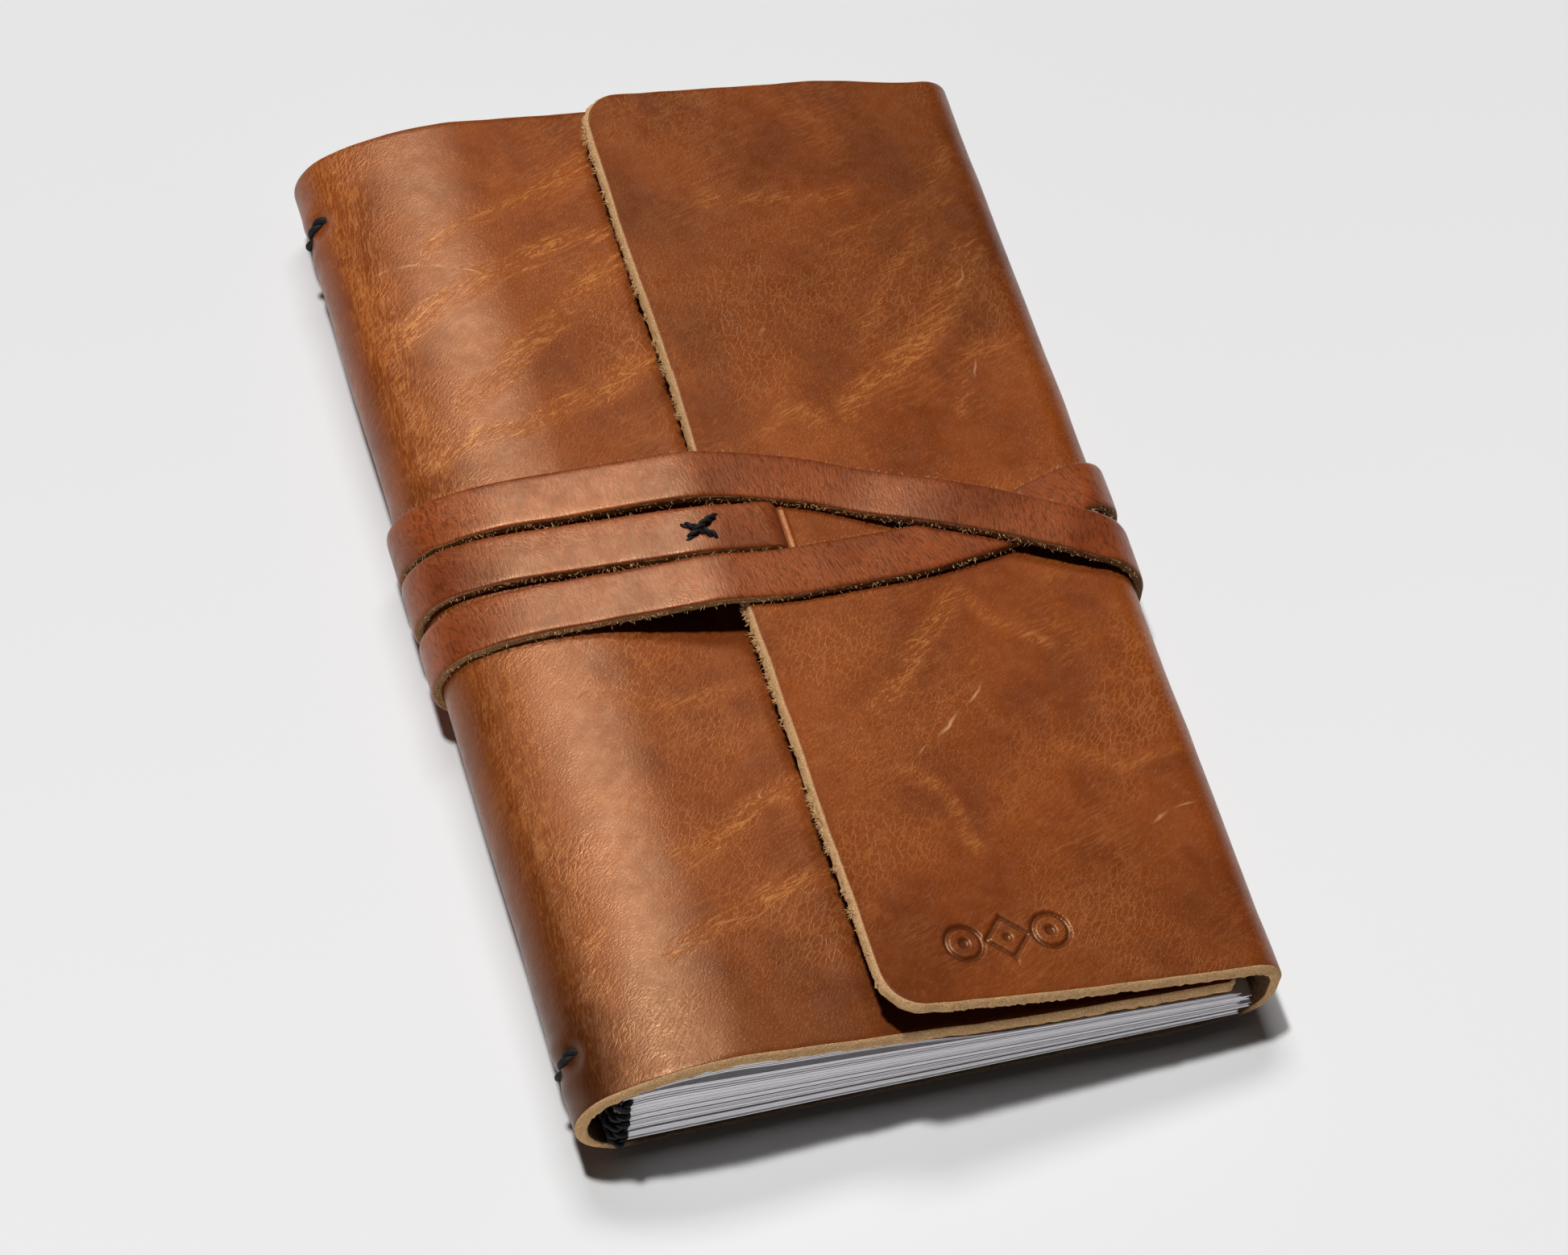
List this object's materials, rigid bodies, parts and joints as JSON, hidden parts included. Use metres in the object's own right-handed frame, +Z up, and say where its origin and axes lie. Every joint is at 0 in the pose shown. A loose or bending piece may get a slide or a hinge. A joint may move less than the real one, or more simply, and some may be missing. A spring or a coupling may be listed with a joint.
{
  "type": "leather notebook cover",
  "caption": "Leather notebook cover with a fold-over flap, a wrap-around strap and stitched-in refill pages, shown closed and tied.",
  "frame": {"origin": "centre of the bounding box's base: on the table, under the middle of the closed notebook", "axes": "+X from the spine to the fore edge, +Y from the foot to the head, +Z up out of the front cover"},
  "size_m": [0.1395, 0.2193, 0.0351],
  "materials": {
    "cover_leather": "waxed pull-up grain, raw cut edges",
    "strap_leather": "pebbled, satin",
    "waxed_cord": "waxed twisted thread",
    "paper": "uncoated paper"
  },
  "bodies": {
    "block": {"back_panel": "cover_leather", "spine_panel": "cover_leather", "signature_1": "paper", "signature_2": "paper", "signature_3": "paper", "signature_4": "paper", "signature_5": "paper", "signature_cord_1": "waxed_cord", "signature_cord_2": "waxed_cord", "signature_cord_3": "waxed_cord", "signature_cord_4": "waxed_cord", "signature_cord_5": "waxed_cord", "spine_stitch_head": "waxed_cord", "spine_stitch_foot": "waxed_cord", "strap_back_runs": "strap_leather"},
    "front_cover": {"front_panel": "cover_leather"},
    "leaf": {"first_leaf": "paper"},
    "fore_edge": {"fore_edge_panel": "cover_leather", "strap_fold_bends": "strap_leather"},
    "flap": {"flap_panel": "cover_leather", "strap_anchor_run": "strap_leather", "strap_under_run": "strap_leather", "strap_over_run": "strap_leather", "cross_stitch": "waxed_cord"}
  },
  "joints": [
    {"name": "cover_open", "type": "hinge", "parent": "block", "child": "front_cover", "pos_m": [-0.06288, 0, 0.02221], "axis": [0, -1, 0], "range_deg": [0, 175]},
    {"name": "leaf_turn", "type": "hinge", "parent": "block", "child": "leaf", "pos_m": [-0.0579, 0, 0.02053], "axis": [0, -1, 0], "range_deg": [0, 105.05]},
    {"name": "fore_edge_open", "type": "hinge", "parent": "block", "child": "fore_edge", "pos_m": [0.06534, 0, 0.00441], "axis": [0, 1, 0], "range_deg": [0, 90.1], "deforming": ["strap_fold_bends"]},
    {"name": "flap_open", "type": "hinge", "parent": "fore_edge", "child": "flap", "pos_m": [0.0657, 0, 0.0177], "axis": [0, 1, 0], "range_deg": [0, 75.1], "deforming": ["flap_panel", "strap_anchor_run", "strap_under_run", "strap_over_run", "cross_stitch"]}
  ],
  "couplings": [
    {"joint": "leaf_turn", "follows": "cover_open", "ratio": 0.6},
    {"joint": "fore_edge_open", "follows": "cover_open", "ratio": 0.51429},
    {"joint": "flap_open", "follows": "cover_open", "ratio": 0.42857}
  ]
}
